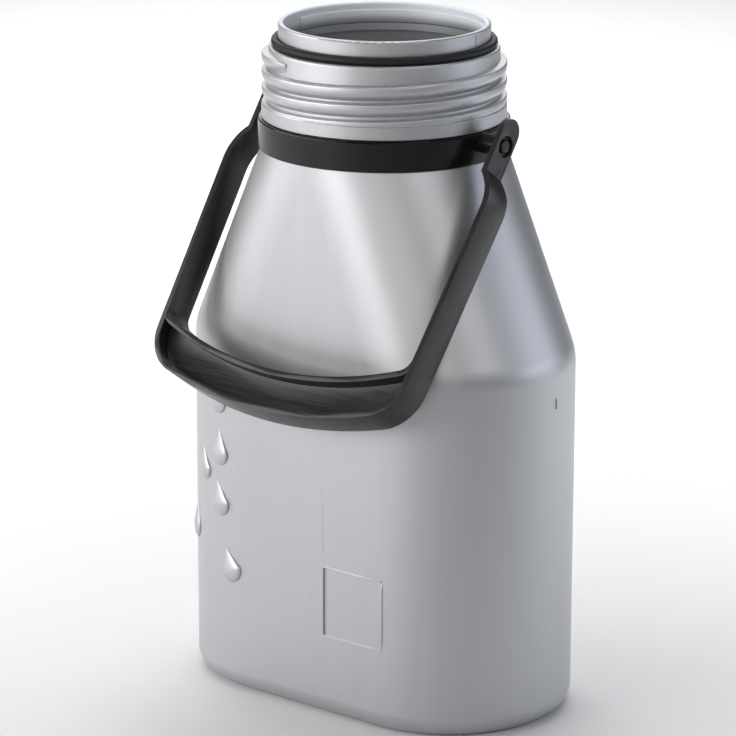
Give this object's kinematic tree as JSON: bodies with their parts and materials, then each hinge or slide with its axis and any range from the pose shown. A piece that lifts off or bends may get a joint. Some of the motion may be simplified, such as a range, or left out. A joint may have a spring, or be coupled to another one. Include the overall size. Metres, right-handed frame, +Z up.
{
  "type": "milk can",
  "caption": "Open plastic milk can with a stadium-shaped body, a slanting shoulder, a round screw neck with a seal ring and a collar that carries a swinging bail handle.",
  "frame": {"origin": "centre of the flat base, on the axis of the neck", "axes": "+Z up along the neck's axis, +X along the bail's pivot axis, the front face with the label recess and the hanging bail towards -Y"},
  "size_m": [0.1554, 0.1188, 0.2542],
  "materials": {
    "can_plastic": "satin silver-pigmented polyethylene",
    "seal_rubber": "smooth black seal rubber",
    "collar_plastic": "fine satin black polypropylene",
    "handle_plastic": "fine satin black polypropylene"
  },
  "bodies": {
    "can": {"can_body": "can_plastic", "seal_ring": "seal_rubber", "collar": "collar_plastic"},
    "bail": {"handle": "handle_plastic"}
  },
  "joints": [
    {"name": "bail_swing", "type": "hinge", "parent": "can", "child": "bail", "pos_m": [0, 0, 0.2155], "axis": [-1, 0, 0], "range_deg": [-2.4, 292.4]}
  ]
}
